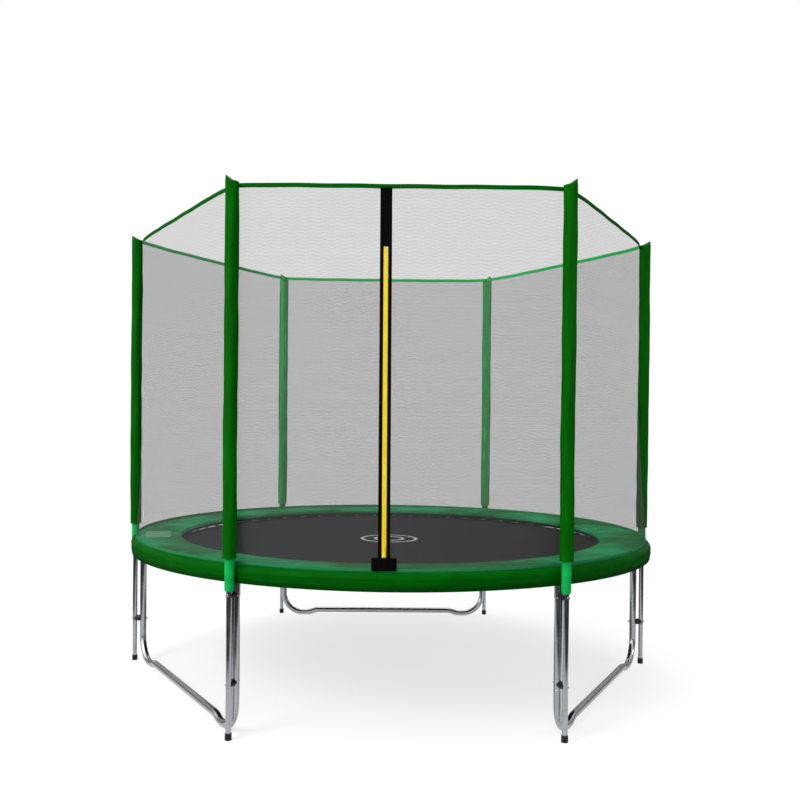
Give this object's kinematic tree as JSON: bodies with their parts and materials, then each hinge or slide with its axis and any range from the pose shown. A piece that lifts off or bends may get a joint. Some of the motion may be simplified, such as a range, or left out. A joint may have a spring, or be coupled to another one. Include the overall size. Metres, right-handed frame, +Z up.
{
  "type": "backyard trampoline",
  "caption": "Round backyard trampoline: tubular steel legs and ring, sprung mat, padded edge cover, and a see-through safety net on padded outside poles with a zip door.",
  "frame": {"origin": "on the ground, under the middle of the jumping mat", "axes": "+Z up, the door faces -Y, +X to the right of someone facing the door; net poles stand at 0, 60, 120, 180, 240 and 300 degrees from +X"},
  "size_m": [3.179, 3.0646, 2.6106],
  "materials": {
    "galvanized_steel": "galvanized, dull silver",
    "zinc_fasteners": "bright zinc plated",
    "zinc_wire": "bright zinc plated wire",
    "black_plastic": "moulded, satin",
    "light_green_foam": "closed-cell foam tube, matte",
    "dark_green_fabric": "coated fabric sleeve, satin",
    "netting": "fine knitted netting, see-through",
    "green_webbing": "woven tape",
    "black_webbing": "woven tape",
    "yellow_zip": "zip tape and teeth",
    "yellow_slider": "enamelled zip slider",
    "black_mat": "woven polypropylene",
    "green_pad": "padded, glossy coated cover",
    "black_elastic": "woven elastic"
  },
  "bodies": {
    "frame": {"top_rail_1": "galvanized_steel", "leg_upright_1": "galvanized_steel", "pole_lower_1": "galvanized_steel", "pole_upper_1": "galvanized_steel", "top_rail_2": "galvanized_steel", "leg_upright_2": "galvanized_steel", "pole_lower_2": "galvanized_steel", "pole_upper_2": "galvanized_steel", "top_rail_3": "galvanized_steel", "leg_upright_3": "galvanized_steel", "pole_lower_3": "galvanized_steel", "pole_upper_3": "galvanized_steel", "top_rail_4": "galvanized_steel", "leg_upright_4": "galvanized_steel", "pole_lower_4": "galvanized_steel", "pole_upper_4": "galvanized_steel", "top_rail_5": "galvanized_steel", "leg_upright_5": "galvanized_steel", "pole_lower_5": "galvanized_steel", "pole_upper_5": "galvanized_steel", "top_rail_6": "galvanized_steel", "leg_upright_6": "galvanized_steel", "pole_lower_6": "galvanized_steel", "pole_upper_6": "galvanized_steel", "leg_base_back": "galvanized_steel", "leg_base_left": "galvanized_steel", "leg_base_right": "galvanized_steel", "rail_joint_screws": "zinc_fasteners", "pole_bolts": "zinc_fasteners", "pole_nuts": "zinc_fasteners", "pole_foot_caps": "black_plastic", "pole_top_caps": "black_plastic", "pole_spacers": "black_plastic", "pole_foam_tubes": "light_green_foam", "net_pole_sleeves": "dark_green_fabric", "net_panel_right_back": "netting", "net_panel_back": "netting", "net_panel_left_back": "netting", "net_panel_left_front": "netting", "net_panel_right_front": "netting", "net_panel_front_left": "netting", "net_panel_front_right": "netting", "net_top_strap": "green_webbing", "net_foot_hem": "green_webbing", "door_webbing_left": "black_webbing", "door_webbing_right": "black_webbing", "door_flap": "black_webbing", "zip_tape_left": "yellow_zip", "zip_tape_right": "yellow_zip", "springs": "zinc_wire", "edge_pad": "green_pad", "pad_ties": "black_elastic"},
    "zip_slider": {"zip_slider": "yellow_slider"},
    "outer_pull": {"zip_pull_outside": "yellow_slider"},
    "inner_pull": {"zip_pull_inside": "yellow_slider"},
    "mat": {"jumping_mat": "black_mat", "mat_edge_band": "black_webbing", "mat_rings": "zinc_wire"}
  },
  "joints": [
    {"name": "mat_bounce", "type": "slide", "parent": "frame", "child": "mat", "axis": [0, 0, -1], "range_m": [0, 0.12], "stiffness_N_per_m": 4000, "springref_m": -0.03, "deforming": ["springs"]},
    {"name": "zip_travel", "type": "slide", "parent": "frame", "child": "zip_slider", "axis": [0, 0.0888, 0.9961], "range_m": [0, 1.345]},
    {"name": "outer_pull_swing", "type": "hinge", "parent": "zip_slider", "child": "outer_pull", "pos_m": [-0.07, -1.49886, 0.91422], "axis": [-1, 0, 0], "range_deg": [0, 160]},
    {"name": "inner_pull_swing", "type": "hinge", "parent": "zip_slider", "child": "inner_pull", "pos_m": [-0.07, -1.48771, 0.91323], "axis": [1, 0, 0], "range_deg": [-4.99, 150]}
  ]
}
